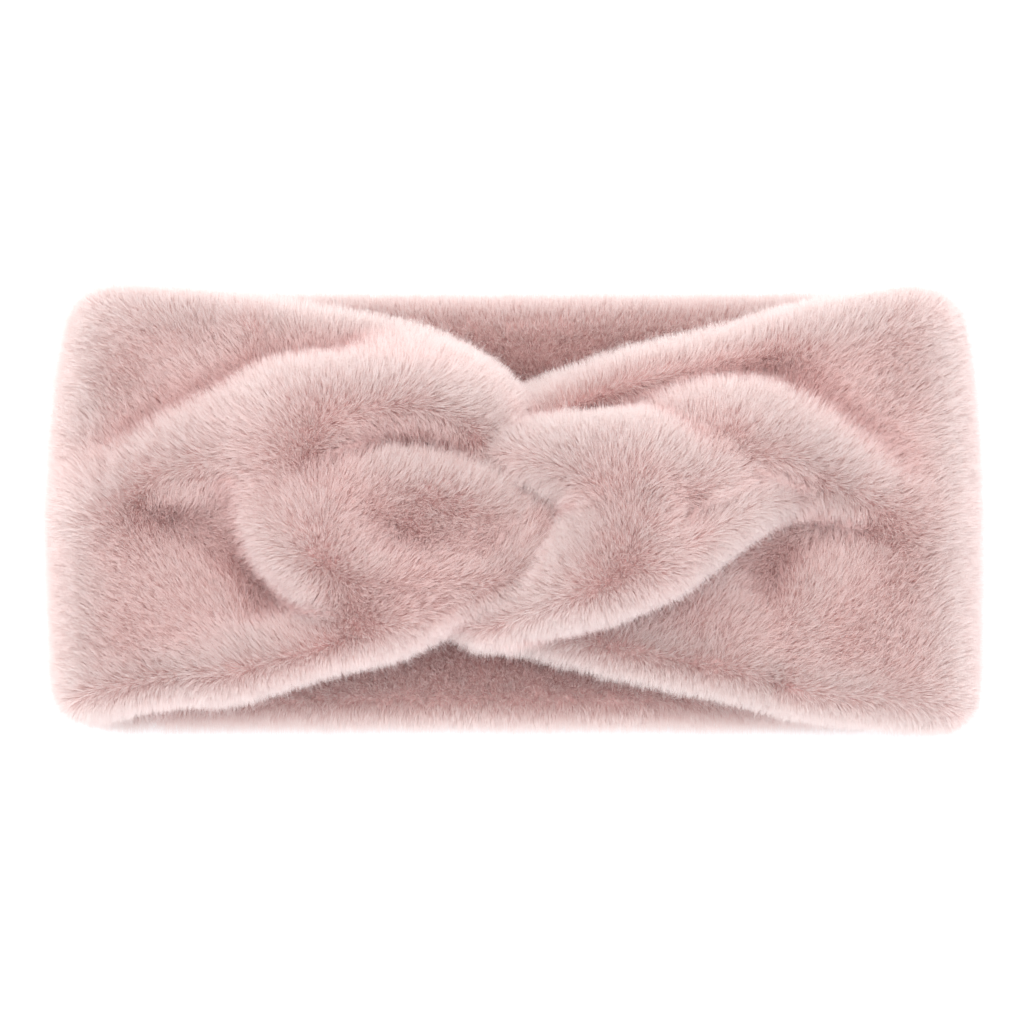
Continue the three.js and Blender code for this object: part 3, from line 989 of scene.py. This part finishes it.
def make_pieces():
    """Sculpts the two loops and the back band, and grows their pile."""
    grid = Grid(cad_low - GRID_MARGIN, cad_high + GRID_MARGIN)
    left = loop_field(grid, -1, LEFT_SHEET, LEFT_FOLDS, LEFT_HOLLOWS, LEFT_BOW)
    right = loop_field(grid, 1, RIGHT_SHEET, RIGHT_FOLDS, RIGHT_HOLLOWS, RIGHT_BOW)
    channel = elastic_channel(grid)
    fields = {
        "left_plush": np.maximum(left, (left - right + CONTACT_GAP) / 2),
        "right_plush": np.maximum(right, (right - left + CONTACT_GAP) / 2),
        "back_plush": np.maximum(back_band_field(grid), -channel),
    }
    solid = np.minimum(np.minimum(fields["left_plush"], fields["right_plush"]), fields["back_plush"])
    backing = plush_material()
    strands = pile_material()
    for name, (node, slot, nap) in PIECES.items():
        points, quads = skin(grid, blur(fields[name], FIELD_PASSES))
        points = evened(points, quads, MESH_PASSES)
        piece = make_mesh(name, tufted(points, quads), quads, backing)
        # The backing takes the same painted shade in creases and under overhangs.
        store_light_and_shade(piece.data, painted_light_and_shade(grid, solid, points, surface_normals(points, quads)))
        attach(piece, "root")
        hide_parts(node)
        neighbours = [field for key, field in fields.items() if key != name]
        if name == "back_plush":
            neighbours.append(channel)
        pile = grow_pile(name + "_pile", grid, (points, quads), solid, neighbours, nap, strands)
        pile.parent = piece


# ---------------------------------------------------------------- floor, light and camera
FLOOR_SIZE = 6
FLOOR_HEIGHT = -0.5 * MM
LIGHT_SIZE = 1.2
SKY_COLOUR = (0.95, 0.96, 1)
SKY_STRENGTH = 1.1
LENS = 135
FRAME_SHARE = 0.908          # how much of the picture's width the headband takes
FRAMED_HEIGHT = 17 * MM      # where that width is measured
PILE_OVERHANG = 0.8 * MM     # how far the pile stands past the CAD's ends
CAMERA_ASIDE = -0.5 * MM     # along X


def make_floor():
    """A plain pale floor."""
    bpy.ops.mesh.primitive_plane_add(size=FLOOR_SIZE, location=(0, 0, FLOOR_HEIGHT))
    floor = bpy.context.object
    floor.name = "floor"
    floor.data.materials.append(floor_material())
    floor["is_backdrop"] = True


def make_light(name, place_at, power, colour):
    """A large soft square light that faces the origin."""
    data = bpy.data.lights.new(name, "AREA")
    data.shape = "SQUARE"
    data.size = LIGHT_SIZE
    data.energy = power
    data.color = colour
    lamp = bpy.data.objects.new(name, data)
    lamp.location = place_at
    lamp.rotation_euler = (-Vector(place_at)).to_track_quat("-Z", "Y").to_euler()
    bpy.context.scene.collection.objects.link(lamp)


def make_world():
    """Even pale light from all round."""
    world = bpy.data.worlds.new("world")
    bpy.context.scene.world = world
    world.use_nodes = True
    background = world.node_tree.nodes["Background"]
    background.inputs["Color"].default_value = (*SKY_COLOUR, 1)
    background.inputs["Strength"].default_value = SKY_STRENGTH


def make_camera():
    """Straight above, with its top towards +Y."""
    data = bpy.data.cameras.new("camera")
    data.lens = LENS
    camera = bpy.data.objects.new("camera", data)
    bpy.context.scene.collection.objects.link(camera)
    bpy.context.scene.camera = camera
    frame_width = 2 * (HALF_LENGTH + PILE_OVERHANG) / FRAME_SHARE
    camera.location = (CAMERA_ASIDE, 0, data.lens / data.sensor_width * frame_width + FRAMED_HEIGHT)


make_pieces()
dress_nodes()
make_floor()
make_light("key", place_at=(-0.2, 0.4, 1.0), power=12.4, colour=(1.0, 0.975, 0.95))
make_light("fill", place_at=(0.5, -0.3, 1.0), power=4.6, colour=(0.97, 0.97, 1.0))
make_world()
bpy.context.scene.view_settings.view_transform = "Standard"
make_camera()
